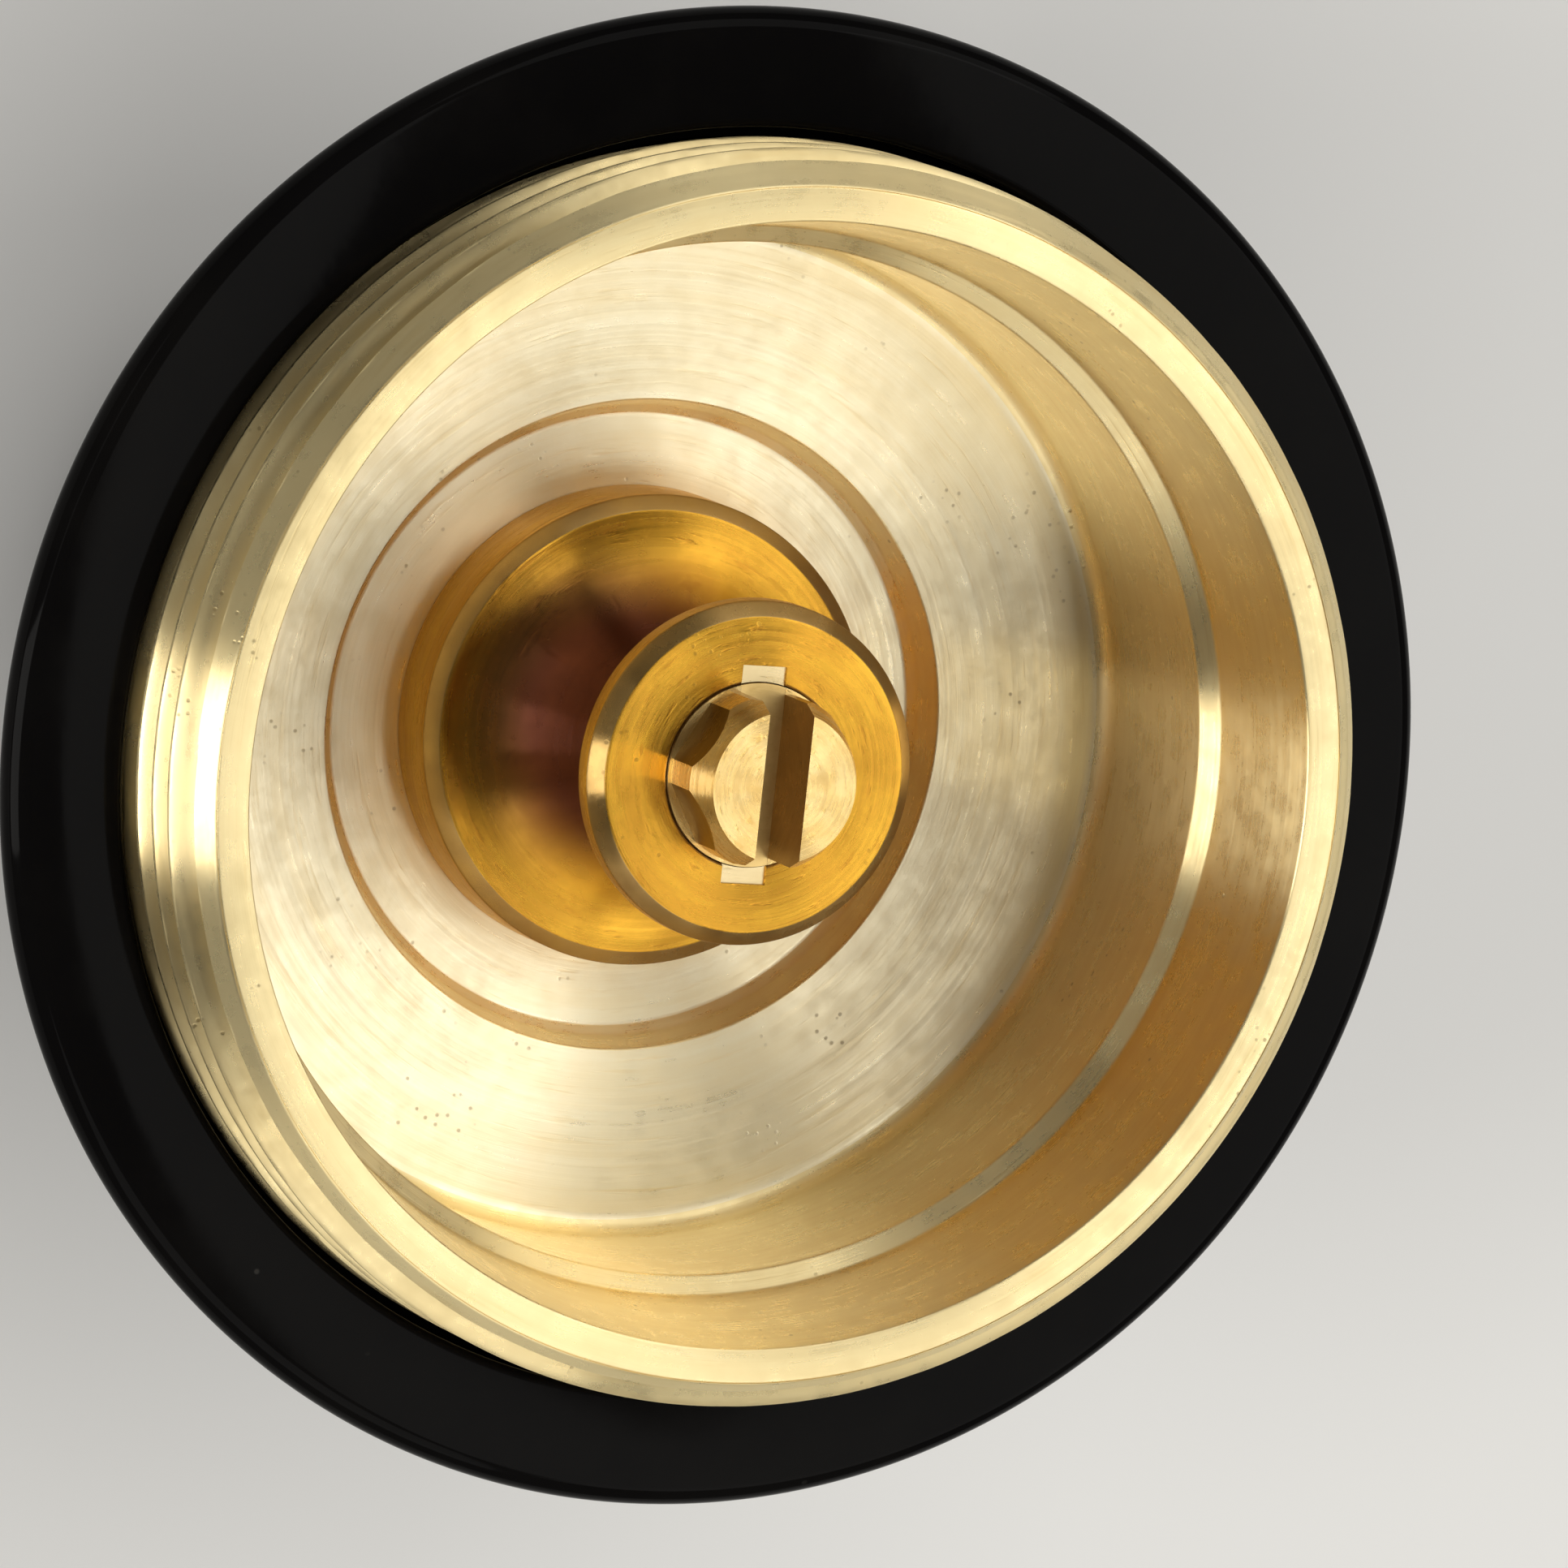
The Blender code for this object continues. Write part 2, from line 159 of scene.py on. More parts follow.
CAMERA_TILT = math.radians(24.0)       # from the cup's axis
CAMERA_ROLL = math.radians(22.6)       # the axis points this far below the picture's right-hand side
CAMERA_DISTANCE = 0.535
FRAME_WIDTH = 0.05168                  # seen at the rim's distance
SENSOR = 36.0
AIM_RIGHT = -0.0011 * FRAME_WIDTH
AIM_UP = 0.0028 * FRAME_WIDTH
BACK = Vector((0.0, -math.sin(CAMERA_TILT), math.cos(CAMERA_TILT)))
AXIS_SEEN = Vector((0.0, math.cos(CAMERA_TILT), math.sin(CAMERA_TILT)))
ACROSS = Vector((1.0, 0.0, 0.0))
RIGHT = AXIS_SEEN * math.cos(CAMERA_ROLL) - ACROSS * math.sin(CAMERA_ROLL)
UP = -AXIS_SEEN * math.sin(CAMERA_ROLL) - ACROSS * math.cos(CAMERA_ROLL)


def make_camera():
    """A long lens over the cup's near side, rolled so that the axis leans to the right."""
    target = Vector((0.0, 0.0, RIM_Z * MM)) + RIGHT * AIM_RIGHT + UP * AIM_UP
    data = bpy.data.cameras.new("camera")
    data.sensor_width = SENSOR
    data.lens = SENSOR * CAMERA_DISTANCE / FRAME_WIDTH
    data.clip_start = 0.01
    data.clip_end = 20.0
    camera = bpy.data.objects.new("camera", data)
    bpy.context.scene.collection.objects.link(camera)
    facing = Matrix((RIGHT, UP, BACK)).transposed().to_4x4()
    camera.matrix_world = Matrix.Translation(target + BACK * CAMERA_DISTANCE) @ facing
    bpy.context.scene.camera = camera


# ---------------------------------------------------------------- mesh tools

def arc(centre_r, centre_z, radius_r, radius_z, start, end, steps):
    """Points of an elliptical arc in the (radius, height) plane; angles in degrees."""
    points = []
    for step in range(steps + 1):
        angle = math.radians(start + (end - start) * step / steps)
        points.append((centre_r + radius_r * math.cos(angle), centre_z + radius_z * math.sin(angle)))
    return points


def softened(outline, radius, steps=3):
    """Round every corner of a closed outline that turns by more than 15 degrees."""
    result = []
    count = len(outline)
    for index, corner in enumerate(outline):
        here = Vector(corner)
        before = Vector(outline[index - 1]) - here
        after = Vector(outline[(index + 1) % count]) - here
        turning = math.pi - before.angle(after) if before.length and after.length else 0.0
        if turning < math.radians(15) or corner[0] == 0.0:
            result.append(corner)
            continue
        reach = min(radius, before.length * 0.4, after.length * 0.4)
        start = here + before.normalized() * reach
        end = here + after.normalized() * reach
        for step in range(steps + 1):
            share = step / steps
            point = start.lerp(here, share).lerp(here.lerp(end, share), share)
            result.append((point.x, point.y))
    return result


def object_from(name, mesh_builder, sharp=30):
    """Make a smooth-shaded object whose edges over an angle stay sharp."""
    bmesh.ops.recalc_face_normals(mesh_builder, faces=mesh_builder.faces)
    mesh = bpy.data.meshes.new(name)
    mesh_builder.to_mesh(mesh)
    mesh_builder.free()
    mesh.shade_smooth()
    mesh.set_sharp_from_angle(angle=math.radians(sharp))
    made = bpy.data.objects.new(name, mesh)
    bpy.context.scene.collection.objects.link(made)
    return made


def turned(name, outline, segments, centre=(0.0, 0.0), shape=None):
    """Turn a closed outline about a vertical axis; shape(row, angle, radius, height) may bend it."""
    mesh_builder = bmesh.new()
    rings = []
    for row, (radius, height) in enumerate(outline):
        if radius == 0.0:
            rings.append([mesh_builder.verts.new((centre[0] * MM, centre[1] * MM, height * MM))])
            continue
        ring = []
        for index in range(segments):
            angle = math.tau * index / segments
            here_r, here_z = shape(row, angle, radius, height) if shape else (radius, height)
            x = (centre[0] + here_r * math.cos(angle)) * MM
            y = (centre[1] + here_r * math.sin(angle)) * MM
            ring.append(mesh_builder.verts.new((x, y, here_z * MM)))
        rings.append(ring)
    for row, lower in enumerate(rings):
        upper = rings[(row + 1) % len(rings)]
        for index in range(segments):
            following = (index + 1) % segments
            corners = [lower[index % len(lower)], lower[following % len(lower)],
                       upper[following % len(upper)], upper[index % len(upper)]]
            corners = list(dict.fromkeys(corners))
            if len(corners) > 2:
                mesh_builder.faces.new(corners)
    return object_from(name, mesh_builder)


def block(size, centre, turn=0.0):
    """A box for cutting, turned about the vertical through its centre."""
    mesh_builder = bmesh.new()
    bmesh.ops.create_cube(mesh_builder, size=1.0)
    place = Matrix.Translation(Vector(centre) * MM) @ Matrix.Rotation(turn, 4, "Z")
    place = place @ Matrix.Diagonal((*(Vector(size) * MM), 1.0))
    bmesh.ops.transform(mesh_builder, matrix=place, verts=mesh_builder.verts)
    return object_from("cutting_block", mesh_builder)


def prism(across_flats, low, high, turn):
    """A hexagonal prism for cutting flats."""
    mesh_builder = bmesh.new()
    corner_r = across_flats / math.sqrt(3.0)
    ends = []
    for height in (low, high):
        ends.append([mesh_builder.verts.new((corner_r * math.cos(turn + side * math.pi / 3) * MM,
                                             corner_r * math.sin(turn + side * math.pi / 3) * MM,
                                             height * MM)) for side in range(6)])
        mesh_builder.faces.new(ends[-1])
    for side in range(6):
        following = (side + 1) % 6
        mesh_builder.faces.new((ends[0][side], ends[0][following], ends[1][following], ends[1][side]))
    return object_from("cutting_prism", mesh_builder)


def apply_modifiers(piece):
    """Replace a piece's mesh by what its modifiers make of it."""
    evaluated = piece.evaluated_get(bpy.context.evaluated_depsgraph_get())
    mesh = bpy.data.meshes.new_from_object(evaluated)
    piece.modifiers.clear()
    piece.data = mesh


def cut(piece, tool, operation="DIFFERENCE"):
    """Apply a Boolean and remove its tool."""
    modifier = piece.modifiers.new("cut", "BOOLEAN")
    modifier.operation = operation
    modifier.solver = "EXACT"
    modifier.object = tool
    apply_modifiers(piece)
    bpy.data.objects.remove(tool, do_unlink=True)
    piece.data.shade_smooth()
    piece.data.set_sharp_from_angle(angle=math.radians(30))


# ---------------------------------------------------------------- materials

class Nodes:
    """A short way to write a node tree."""

    def __init__(self, name):
        self.material = bpy.data.materials.new(name)
        self.material.use_nodes = True
        self.tree = self.material.node_tree
        self.shader = self.tree.nodes["Principled BSDF"]

    def add(self, kind, **settings):
        """A node with its settings; inputs are given as a dict by name or number."""
        node = self.tree.nodes.new(kind)
        inputs = settings.pop("inputs", {})
        for key, value in settings.items():
            setattr(node, key, value)
        for key, value in inputs.items():
            self.feed(node.inputs[key], value)
        return node

    def feed(self, socket, value):
        """Link an output, or set a plain value."""
        if isinstance(value, bpy.types.NodeSocket):
            self.tree.links.new(value, socket)
        else:
            socket.default_value = value

    def math(self, operation, first, second=0.0, third=0.0, clamp=False):
        node = self.add("ShaderNodeMath", operation=operation, use_clamp=clamp,
                        inputs={0: first, 1: second, 2: third})
        return node.outputs[0]

    def noise(self, vector, scale, detail=2.0, roughness=0.5, distortion=0.0):
        node = self.add("ShaderNodeTexNoise", inputs={
            "Vector": vector, "Scale": scale, "Detail": detail, "Roughness": roughness,
            "Distortion": distortion})
        return node.outputs["Fac"]

    def step(self, value, low, high, to_low=0.0, to_high=1.0):
        """Map low..high to to_low..to_high, smoothly and clamped."""
        node = self.add("ShaderNodeMapRange", interpolation_type="SMOOTHSTEP", inputs={
            "Value": value, "From Min": low, "From Max": high, "To Min": to_low, "To Max": to_high})
        return node.outputs["Result"]

    def blend(self, amount, first, second, mode="MIX"):
        node = self.add("ShaderNodeMix", data_type="RGBA", blend_type=mode)
        self.feed(node.inputs["Factor"], amount)
        self.feed(node.inputs[6], first)
        self.feed(node.inputs[7], second)
        return node.outputs[2]

    def vector(self, x, y, z):
        return self.add("ShaderNodeCombineXYZ", inputs={0: x, 1: y, 2: z}).outputs[0]


def turned_metal(name, light, dark, roughness, grain=1.0, pits=1.0, tarnish=0.3, anisotropy=1.0,
                 painted_shade=None):
    """Lathe-turned metal: fine circular grooves, long arcs of scratches, mottling and small dark pits.

    The last argument, (radius, low, high, colour), is painted shade: it darkens the metal to the colour
    inside a radius and between two heights.
    """
    n = Nodes(name)
    place = n.add("ShaderNodeTexCoord").outputs["Object"]
    x, y, z = n.add("ShaderNodeSeparateXYZ", inputs={0: place}).outputs
    radius = n.math("SQRT", n.math("ADD", n.math("MULTIPLY", x, x), n.math("MULTIPLY", y, y)))
    angle = n.math("ARCTAN2", y, x)
    cosine = n.math("COSINE", angle)
    sine = n.math("SINE", angle)

    def around(across_scale, along_scale, detail, rough=0.5):
        """Noise that is drawn out along the turning direction."""
        lane = n.math("ADD", n.math("MULTIPLY", radius, across_scale),
                      n.math("MULTIPLY", z, across_scale * 1.31))
        vector = n.vector(n.math("MULTIPLY", cosine, along_scale),
                          n.math("MULTIPLY", sine, along_scale), lane)
        return n.noise(vector, 1.0, detail, rough)

    fine = around(7600.0, 0.9, 2.0, 0.6)
    medium = around(1500.0, 1.6, 3.0, 0.6)
    arcs = around(3600.0, 3.0, 3.0, 0.65)
    scratches = n.step(arcs, 0.56, 0.70)
    mottle = n.noise(place, 900.0, 4.0, 0.65)
    blotch = n.noise(place, 110.0, 3.0, 0.5)
    speck = n.add("ShaderNodeTexVoronoi", feature="F1", inputs={"Vector": place, "Scale": 2600.0})
    rare = n.noise(place, 380.0, 2.0, 0.5)
    speck_core = n.step(speck.outputs["Distance"], 0.10, 0.24, 1.0, 0.0)
    speck_mask = n.math("MULTIPLY", speck_core, n.step(rare, 0.60, 0.68), clamp=True)

    colour = n.blend(n.step(blotch, 0.40, 0.72, 0.0, tarnish), (*light, 1.0), (*dark, 1.0))
    colour = n.blend(n.step(mottle, 0.42, 0.72, 0.0, 0.5 * tarnish), colour, (*dark, 1.0))
    colour = n.blend(n.step(medium, 0.38, 0.62, 0.0, 0.25 * grain), colour, (*dark, 1.0))
    colour = n.blend(n.math("MULTIPLY", scratches, 0.40 * grain), colour, (*dark, 1.0))
    # Painted shade: the given colour inside a radius that leans to the near side, between two heights.
    if painted_shade:
        leaning = n.math("ADD", radius, n.math("MULTIPLY", y, PAINTED_SHADE_LEAN))
        inside = n.step(leaning, painted_shade[0] * 0.5 * MM, painted_shade[0] * MM, 1.0, 0.0)
        above = n.step(z, painted_shade[1] * MM, (painted_shade[1] + PAINTED_SHADE_EDGE) * MM)
        below = n.step(z, (painted_shade[2] - PAINTED_SHADE_EDGE) * MM, painted_shade[2] * MM, 1.0, 0.0)
        shade_mask = n.math("MULTIPLY", n.math("MULTIPLY", inside, above), below)
        colour = n.blend(shade_mask, colour, (*painted_shade[3], 1.0))
    colour = n.blend(n.math("MULTIPLY", speck_mask, 0.7 * pits), colour, (0.16, 0.10, 0.04, 1.0))
    n.feed(n.shader.inputs["Base Color"], colour)

    rough = n.step(mottle, 0.3, 0.7, roughness * 0.90, roughness * 1.12)
    rough = n.math("ADD", rough, n.math("MULTIPLY", n.math("SUBTRACT", fine, 0.5), 0.12 * grain))
    rough = n.math("ADD", rough, n.math("MULTIPLY", speck_mask, 0.2 * pits), clamp=True)
    n.feed(n.shader.inputs["Roughness"], rough)

    height = n.math("MULTIPLY", fine, 0.9 * grain)
    height = n.math("ADD", height, n.math("MULTIPLY", medium, 0.35 * grain))
    height = n.math("SUBTRACT", height, n.math("MULTIPLY", scratches, 0.5 * grain))
    height = n.math("SUBTRACT", height, n.math("MULTIPLY", speck_mask, 1.2 * pits))
    bump = n.add("ShaderNodeBump", inputs={"Strength": 0.6, "Distance": 0.000008, "Height": height})
    n.feed(n.shader.inputs["Normal"], bump.outputs[0])
    n.shader.inputs["Metallic"].default_value = 1.0
    n.shader.inputs["Anisotropic"].default_value = anisotropy
    n.shader.inputs["Anisotropic Rotation"].default_value = 0.25
    tangent = n.add("ShaderNodeTangent", direction_type="RADIAL", axis="Z")
    n.feed(n.shader.inputs["Tangent"], tangent.outputs[0])
    return n.material


def black_gloss():
    """Polished black: faint polishing swirls, dust and a very slight orange peel."""
    n = Nodes("black_gloss_finish")
    place = n.add("ShaderNodeTexCoord").outputs["Object"]
    peel = n.noise(place, 900.0, 2.0, 0.5)
    haze = n.noise(place, 160.0, 4.0, 0.6)
    dust = n.add("ShaderNodeTexVoronoi", feature="F1", inputs={"Vector": place, "Scale": 700.0})
    dust_core = n.step(dust.outputs["Distance"], 0.04, 0.09, 1.0, 0.0)
    dust_mask = n.math("MULTIPLY", dust_core, n.step(haze, 0.60, 0.68))
    colour = n.blend(n.step(haze, 0.4, 0.7, 0.0, 0.5), (0.0035, 0.0032, 0.0032, 1.0),
                     (0.006, 0.0055, 0.005, 1.0))
    colour = n.blend(n.math("MULTIPLY", dust_mask, 0.15), colour, (0.2, 0.19, 0.17, 1.0))
    n.feed(n.shader.inputs["Base Color"], colour)
    n.feed(n.shader.inputs["Roughness"], n.step(haze, 0.3, 0.75, 0.05, 0.11))
    bump = n.add("ShaderNodeBump", inputs={"Strength": 0.15, "Distance": 0.000008, "Height": peel})
    n.feed(n.shader.inputs["Normal"], bump.outputs[0])
    n.shader.inputs["Specular IOR Level"].default_value = 0.03
    return n.material


def steel_finish():
    """Plain plated steel for the hidden hardware and the cover screws."""
    n = Nodes("steel_finish")
    place = n.add("ShaderNodeTexCoord").outputs["Object"]
    cloud = n.noise(place, 600.0, 4.0, 0.6)
    fine = n.noise(place, 5000.0, 2.0, 0.5)
    colour = n.blend(n.step(cloud, 0.35, 0.7), (0.60, 0.60, 0.61, 1.0), (0.42, 0.42, 0.43, 1.0))
    n.feed(n.shader.inputs["Base Color"], colour)
    n.feed(n.shader.inputs["Roughness"], n.step(cloud, 0.3, 0.7, 0.26, 0.40))
    bump = n.add("ShaderNodeBump", inputs={"Strength": 0.3, "Distance": 0.00001, "Height": fine})
    n.feed(n.shader.inputs["Normal"], bump.outputs[0])
    n.shader.inputs["Metallic"].default_value = 1.0
    return n.material


# ---------------------------------------------------------------- pieces

def thread_radius(angle, height):
    """Radius of the M42 thread: a 60 degree ridge that climbs to the right, with worn crests."""
    turns = (height - RIM_Z) / THREAD_PITCH - angle / math.tau
    from_crest = abs((turns + 0.5) % 1.0 - 0.5)
    share = (from_crest - THREAD_CREST_SHARE) / (0.5 - THREAD_CREST_SHARE - THREAD_ROOT_SHARE)
    share = min(max(share, 0.0), 1.0)
    share = share * share * (3 - 2 * share) * 0.35 + share * 0.65
    return THREAD_R - THREAD_DEPTH * share


def make_cup(brass, pale):
    """The cup, with a real helical thread under a turned chamfer."""
    chamfer_rows = 30
    thread_rows = 130
    collar = [(RIM_OUTER_R - 0.05, RIM_Z)]
    for row in range(chamfer_rows):
        share = row / chamfer_rows
        radius = RIM_OUTER_R + (THREAD_R - RIM_OUTER_R) * share
        collar.append((radius, RIM_Z - 0.02 - (COLLAR_CHAMFER - 0.02) * share))
    for row in range(thread_rows + 1):
        share = row / thread_rows
        collar.append((THREAD_R, RIM_Z - COLLAR_CHAMFER - (THREAD_LENGTH - COLLAR_CHAMFER) * share))
    inside = [
        (CUP_BODY_R, RIM_Z - THREAD_LENGTH),
        (CUP_BODY_R, CUP_LOW.z + CUP_FOOT_BREAK),
        (CUP_BODY_R - CUP_FOOT_BREAK, CUP_LOW.z),
        (SHANK_R + GAP, CUP_LOW.z),
        (SHANK_R + GAP, RECESS_FLOOR_Z),
        (RECESS_FLOOR_R, RECESS_FLOOR_Z),
        (RECESS_FLOOR_R + RECESS_FILLET[0], RECESS_FLOOR_Z + RECESS_FILLET[1]),
        (RECESS_R, FLOOR_Z),
    ]
    fillet_z = FLOOR_Z + FLOOR_FILLET
    inside += arc(WALL_R - FLOOR_FILLET, fillet_z, FLOOR_FILLET, FLOOR_FILLET, -90, 0, 8)
    inside += [
        (WALL_R, WALL_Z),
        (LEDGE_R, LEDGE_Z),
        (UPPER_WALL_R, UPPER_WALL_Z),
        (RIM_INNER_R, RIM_Z),
    ]
    outline = collar + softened([collar[-1]] + inside + [collar[0]], 0.09, 4)[4:-1]
    threaded = len(collar)

    def shape(row, angle, radius, height):
        if row >= threaded or row == 0:
            return radius, height
        return min(radius, thread_radius(angle, height)), height

    piece = turned("threaded_cup_fine", outline, FINE, shape=shape)
    dress(piece, brass, "housing", "threaded_cup")
    piece.data.materials.append(pale)
    # The cup's floor gets the pale second material: a painted highlight, the washed-out colour of the
    # brightly lit floor.
    low, high = (RECESS_FLOOR_Z - 0.1) * MM, (FLOOR_Z + 0.1) * MM
    for polygon in piece.data.polygons:
        within_wall = math.hypot(*polygon.center[:2]) < WALL_R * MM
        if low < polygon.center.z < high and within_wall and polygon.normal.z > LEVEL:
            polygon.material_index = 1
    return piece


def make_body(black):
    """The black body, with rounded edges."""
    edge_z = SHOULDER_Z - SHOULDER_FALL - BODY_EDGE_R
    pocket_z = RIM_Z - THREAD_POCKET_DEPTH
    bore_r = THREAD_R + GAP
    rebate_r = COVER_HIGH.x + GAP
    rebate_z = COVER_HIGH.z + GAP
    cup_foot_z = CUP_LOW.z - GAP
    side_r = BODY_R - BODY_EDGE_R + BODY_EDGE_R * math.cos(SIDE_TAPER)
    side_z = edge_z - BODY_EDGE_R * math.sin(SIDE_TAPER)
    foot_r = side_r - (side_z - FOOT_EDGE) * math.tan(SIDE_TAPER)
    outline = [(rebate_r, 0.0), (foot_r - FOOT_EDGE, 0.0), (foot_r, FOOT_EDGE)]
    edge_start = -math.degrees(SIDE_TAPER)
    outline += arc(BODY_R - BODY_EDGE_R, edge_z, BODY_EDGE_R, BODY_EDGE_R, edge_start, 86, 18)
    outline += [
        (bore_r + SMALL_BREAK, SHOULDER_Z),
        (bore_r, SHOULDER_Z - SMALL_BREAK),
        (bore_r, pocket_z),
        (CUP_BODY_R + GAP, pocket_z - SMALL_BREAK),
        (CUP_BODY_R + GAP, cup_foot_z),
        (BODY_BORE_R, cup_foot_z),
        (BODY_BORE_R, rebate_z),
        (rebate_r, rebate_z),
    ]
    piece = turned("outer_body_fine", softened(outline, 0.12, 4), FINE)
    return dress(piece, black, "housing", "outer_body")


def make_post(brass, milled, shaded_chamfer_finish):
    """The spool, with the saw's kerf across its head."""
    head_low = HEAD_TOP_Z - HEAD_CHAMFER[1] - HEAD_SIDE
    waist_z = (FLANGE_TOP_Z + head_low) / 2 + WAIST_RISE
    flange_low = RECESS_FLOOR_Z + POST_REST
    outline = [(SHANK_R - SMALL_BREAK, POST_LOW.z), (SHANK_R, POST_LOW.z + SMALL_BREAK)]
    outline.append((SHANK_R, flange_low))
    outline += [(FLANGE_R, flange_low), (FLANGE_R, FLANGE_SIDE_Z)]
    for step in range(FLARE_STEPS):
        angle = math.pi / 2 * step / (FLARE_STEPS - 1)
        radius = FLANGE_TOP_R - (FLANGE_TOP_R - WAIST_R) * math.sin(angle)
        height = FLANGE_TOP_Z + (waist_z - FLANGE_TOP_Z) * (1 - math.cos(angle))
        outline.append((radius, height))
    under_head_r = HEAD_R - HEAD_UNDERCUT
    outline += arc(under_head_r, waist_z, -(under_head_r - WAIST_R), head_low - waist_z, 3, 84, 20)
    outline += [
        (HEAD_R, head_low),
        (HEAD_R, HEAD_TOP_Z - HEAD_CHAMFER[1]),
        (HEAD_R - HEAD_CHAMFER[0], HEAD_TOP_Z),
        (BORE_R + BORE_BREAK, HEAD_TOP_Z),
        (BORE_R, HEAD_TOP_Z - BORE_BREAK),
        (BORE_R, HEAD_TOP_Z - BORE_DEPTH),
        (SCREW_TUNNEL_R, HEAD_TOP_Z - BORE_DEPTH),
        (SCREW_TUNNEL_R, POST_LOW.z),
    ]
    piece = turned("centre_post_fine", softened(outline, 0.07, 3), MEDIUM)
    cut(piece, block((2 * KERF_REACH, SLOT_WIDTH, 2 * KERF_DEPTH), (0, 0, HEAD_TOP_Z), SLOT_ANGLE))
    dress(piece, brass, "housing", "centre_post")
    piece.data.materials.append(milled)
    piece.data.materials.append(shaded_chamfer_finish)
    kerf_z = (HEAD_TOP_Z - KERF_DEPTH) * MM
    head_edge_z = (HEAD_TOP_Z - KERF_DEPTH - HEAD_CHAMFER[0]) * MM
    for polygon in piece.data.polygons:
        from_axis = math.hypot(*polygon.center[:2])
        if abs(polygon.center.z - kerf_z) < 0.6 * KERF_DEPTH * MM and from_axis > BORE_R * MM:
            polygon.material_index = 1
        # Chamfer faces get the dark third material: painted shade, standing in for the chamfers' dark
        # reflections.
        outside = from_axis > FLANGE_TOP_R * MM or polygon.center.z > head_edge_z
        if outside and CHAMFER_SLOPES[0] < polygon.normal.z < CHAMFER_SLOPES[1]:
            polygon.material_index = 2
    return piece


def make_screw(brass, slot_finish, shaded_flat_finish):
    """The slotted screw with six flats."""
    head_low = HEAD_TOP_Z - BORE_DEPTH + GAP
    outline = [
        (0.0, SCREW_TOP_Z),
        (SCREW_TOP_R, SCREW_TOP_Z),
        (SCREW_HEAD_R, SCREW_TOP_Z - SCREW_CHAMFER),
        (SCREW_HEAD_R, HEAD_TOP_Z + SCREW_COLLAR_RISE),
        (SCREW_HEAD_R, head_low),
        (SCREW_SHANK_R, head_low),
        (SCREW_SHANK_R, SCREW_LOW.z + SMALL_BREAK),
        (SCREW_SHANK_R - SMALL_BREAK, SCREW_LOW.z),
        (0.0, SCREW_LOW.z),
    ]
    piece = turned("adjusting_screw_fine", outline, MEDIUM)
    cut(piece, prism(SCREW_FLATS, -1.0, RIM_Z + 2.0, SLOT_ANGLE + math.pi / 6), "INTERSECT")
    collar_low = HEAD_TOP_Z - SCREW_COLLAR_SINK
    collar_top = HEAD_TOP_Z + SCREW_COLLAR_RISE
    collar = [(0.0, collar_low), (SCREW_COLLAR_R, collar_low)]
    collar += [(SCREW_COLLAR_R, collar_top), (0.0, collar_top)]
    cut(piece, turned("collar", collar, MEDIUM), "UNION")
    slot_height = 2 * (SCREW_TOP_Z - HEAD_TOP_Z - SLOT_FLOOR_RISE)
    cut(piece, block((4 * SCREW_TOP_R, SLOT_WIDTH, slot_height), (0, 0, SCREW_TOP_Z), SLOT_ANGLE))
    piece.data.set_sharp_from_angle(angle=SCREW_SHARP_ANGLE)
    dress(piece, brass, "screw", "adjusting_screw")
    piece.data.materials.append(slot_finish)
    piece.data.materials.append(shaded_flat_finish)
    # The slot floor gets the second material; the flats get the dark third one, painted shade for the flats'
    # dark reflections.
    for polygon in piece.data.polygons:
        from_axis = math.hypot(*polygon.center[:2])
        outward = Vector((polygon.center.x, polygon.center.y, 0.0)).dot(polygon.normal)
        on_flat = abs(polygon.normal.z) < 0.02 and outward < (SCREW_FLATS / 2 + 0.02) * MM
        between_faces = HEAD_TOP_Z * MM < polygon.center.z < (SCREW_TOP_Z - 0.1) * MM
        if polygon.normal.z > LEVEL and between_faces and from_axis <= SCREW_TOP_R * MM:
            polygon.material_index = 1
        elif on_flat:
            polygon.material_index = 2
    return piece


def dress(piece, material, body, node):
    """Give a piece its finish, its body and the CAD node that it stands for."""
    piece.data.materials.clear()
    piece.data.materials.append(material)
    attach(piece, body)
    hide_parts(node)
    return piece


def dress_frame_nodes(finishes):
    """Better materials on the CAD nodes that stay as they are."""
    for node, finish in finishes.items():
        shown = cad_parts[node]
        if not shown.data.materials:
            shown.data.materials.append(finish)
        for slot in shown.material_slots:
            slot.material = finish


# ---------------------------------------------------------------- studio

def area_light(name, direction, distance, size, radiance, target=(0.0, 0.0, 0.02), colour=(1, 1, 1)):
    """A soft box that faces the target; its power follows from its radiance."""
    away = Vector(direction).normalized()
    light = light_object(name, size, radiance, colour)
    light.location = Vector(target) + away * distance
    light.rotation_mode = "QUATERNION"
    light.rotation_quaternion = away.to_track_quat("Z", "Y")
    return light


def light_object(name, size, radiance, colour):
    """A rectangular area light of a given radiance."""
    data = bpy.data.lights.new(name, "AREA")
    data.shape = "RECTANGLE"
    data.size, data.size_y = size
    data.energy = radiance * size[0] * size[1] * math.pi
    data.color = colour
    light = bpy.data.objects.new(name, data)
    bpy.context.scene.collection.objects.link(light)
    return light


def mirrored(direction):
    """A direction as a level mirror sends it back."""
    return Vector((direction.x, direction.y, -direction.z))


def overhead_panel(name, edge, side, turn, size, radiance, colour):
    """A panel that the camera sees in a level polished face; one edge passes near the mirror axis."""
    across, along = mirrored(RIGHT), mirrored(UP)
    axis = mirrored(-BACK)
    run = across * math.cos(turn) + along * math.sin(turn)
    rise = along * math.cos(turn) - across * math.sin(turn)
    shoulder = Vector((0.0, 0.0, SHOULDER_Z * MM))
    middle = shoulder + axis * PANEL_DISTANCE + run * (edge + side * size[0] / 2)
    light = light_object(name, size, radiance, colour)
    facing = Matrix((run, rise, run.cross(rise))).transposed()
    if facing.col[2].dot(axis) < 0:
        facing = Matrix((run, -rise, -run.cross(rise))).transposed()
    light.matrix_world = Matrix.Translation(middle) @ facing.to_4x4()


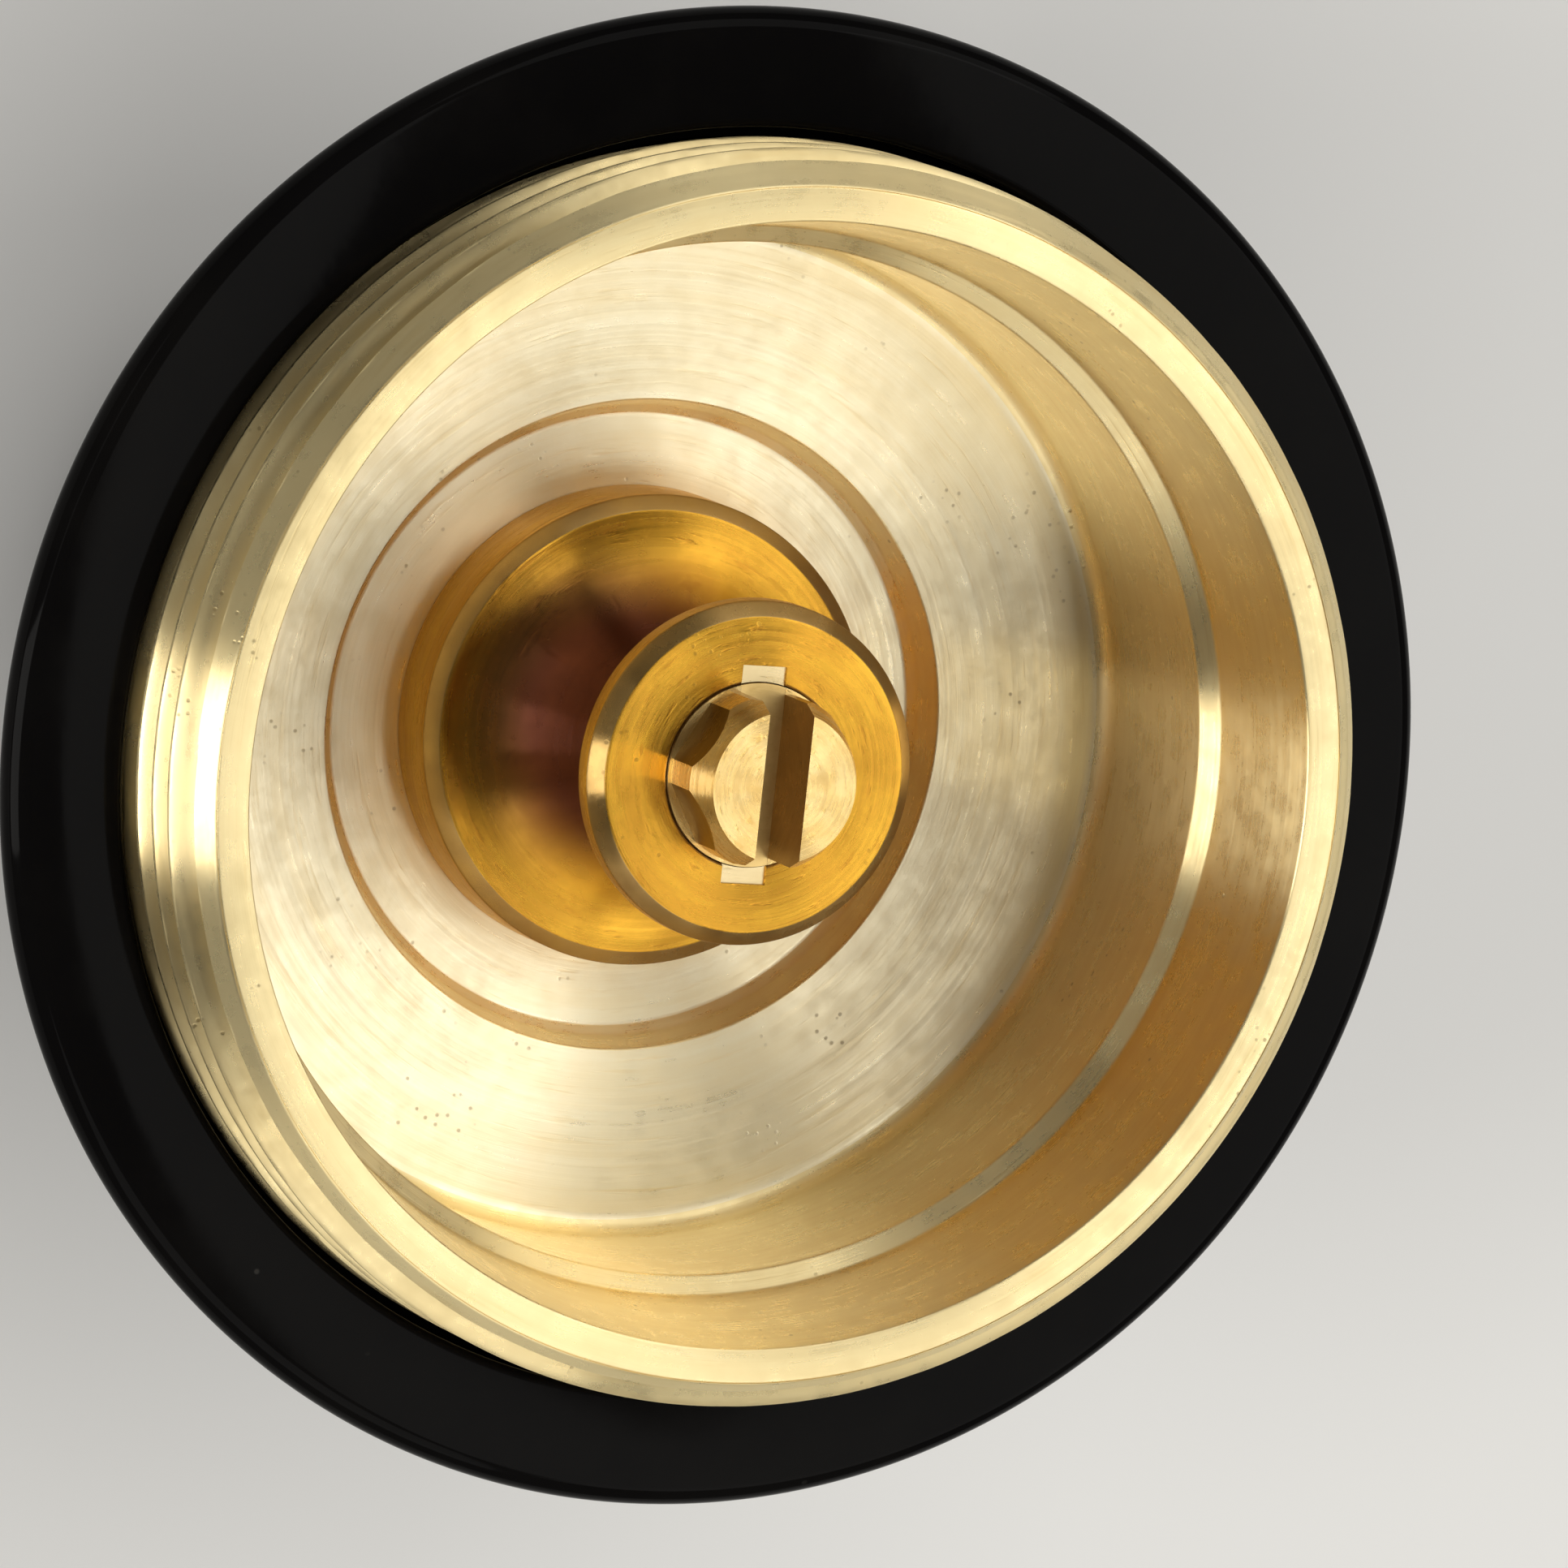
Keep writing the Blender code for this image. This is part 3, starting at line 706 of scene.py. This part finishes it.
def make_studio():
    """Pale floor, dim surround, two overhead panels, a box at each side, a near strip and the key."""
    world = bpy.data.worlds.new("surround")
    world.use_nodes = True
    world.node_tree.nodes["Background"].inputs["Color"].default_value = (1.0, 0.98, 0.95, 1.0)
    world.node_tree.nodes["Background"].inputs["Strength"].default_value = SURROUND_STRENGTH
    bpy.context.scene.world = world
    overhead_panel("overhead_far", 0.0125, 1, math.radians(-9.6), (0.36, 0.70), 1.95, SOFT_WHITE)
    overhead_panel("overhead_near", -0.035, -1, math.radians(17.0), (0.08, 0.70), 2.2, SOFT_WHITE)
    for name, side in (("side_left", -1.0), ("side_right", 1.0)):
        direction = (side * SIDE_DIRECTION[0], *SIDE_DIRECTION[1:])
        area_light(name, direction, 0.55, (0.40, 0.30), SIDE_RADIANCE, colour=SOFT_WHITE)
    area_light("near_strip", (0.0, -0.72, 0.70), 0.55, (0.30, 0.05), 1.3, colour=SOFT_WHITE)
    area_light("key", (0.45, -0.88, 0.44), 0.5, (0.20, 0.34), 5.5, colour=KEY_WHITE)
    floor_builder = bmesh.new()
    bmesh.ops.create_grid(floor_builder, x_segments=8, y_segments=8, size=1.5)
    floor = object_from("floor", floor_builder)
    floor.location.z = -0.0002
    pale = Nodes("floor_finish")
    place = pale.add("ShaderNodeTexCoord").outputs["Object"]
    tone = pale.blend(pale.noise(place, 6.0, 3.0), (0.82, 0.815, 0.80, 1.0), (0.86, 0.855, 0.84, 1.0))
    pale.feed(pale.shader.inputs["Base Color"], tone)
    pale.shader.inputs["Roughness"].default_value = 0.7
    floor.data.materials.append(pale.material)


make_camera()
cup_brass = turned_metal("brass_finish", (0.92, 0.765, 0.42), (0.80, 0.61, 0.28), 0.29, pits=0.5)
# Pale, near-white brass for the cup's floor: painted highlight, the washed-out colour of the brightly lit
# floor.
highlight_floor_brass = turned_metal(
    "floor_painted_highlight_brass", (1.0, 0.905, 0.65), (0.93, 0.78, 0.48), 0.32, grain=1.5, pits=0.5, tarnish=0.25)
milled_brass = turned_metal(
    "milled_brass_finish", (0.72, 0.58, 0.33), (0.55, 0.42, 0.20), 0.30, anisotropy=0.0)
slot_brass = turned_metal(
    "slot_brass_finish", (0.88, 0.64, 0.27), (0.66, 0.44, 0.14), 0.50, anisotropy=0.0)
# Dark brass for the screw's flats: painted shade, standing in for their dark reflections.
shaded_flat_brass = turned_metal(
    "flats_painted_shade_brass", (0.42, 0.27, 0.10), (0.30, 0.18, 0.06), 0.30, anisotropy=0.0)
# Dark brass for the post's chamfers: painted shade, standing in for their dark reflections.
shaded_chamfer_brass = turned_metal(
    "chamfer_painted_shade_brass", (0.43, 0.28, 0.10), (0.32, 0.19, 0.07), 0.25, grain=1.4, pits=0.4)
# The post's brass, with painted shade on the flare under the head.
post_brass = turned_metal(
    "post_brass_finish", (0.68, 0.37, 0.04), (0.53, 0.25, 0.03), 0.25, grain=1.8, pits=0.4, painted_shade=FLARE_PAINTED_SHADE)
screw_brass = turned_metal(
    "screw_brass_finish", (0.90, 0.68, 0.31), (0.74, 0.47, 0.14), 0.26, grain=1.8, pits=0.5, tarnish=0.8)
gloss = black_gloss()
steel = steel_finish()
make_cup(cup_brass, highlight_floor_brass)
make_body(gloss)
make_post(post_brass, milled_brass, shaded_chamfer_brass)
make_screw(screw_brass, slot_brass, shaded_flat_brass)
dress_frame_nodes({
    "post_washer": steel, "post_lock_washer": steel, "post_nut": steel, "screw_lock_nut": steel,
    "base_cover": gloss, "cover_screw_1": steel, "cover_screw_2": steel, "cover_screw_3": steel,
})
make_studio()
bpy.context.scene.view_settings.view_transform = "Standard"
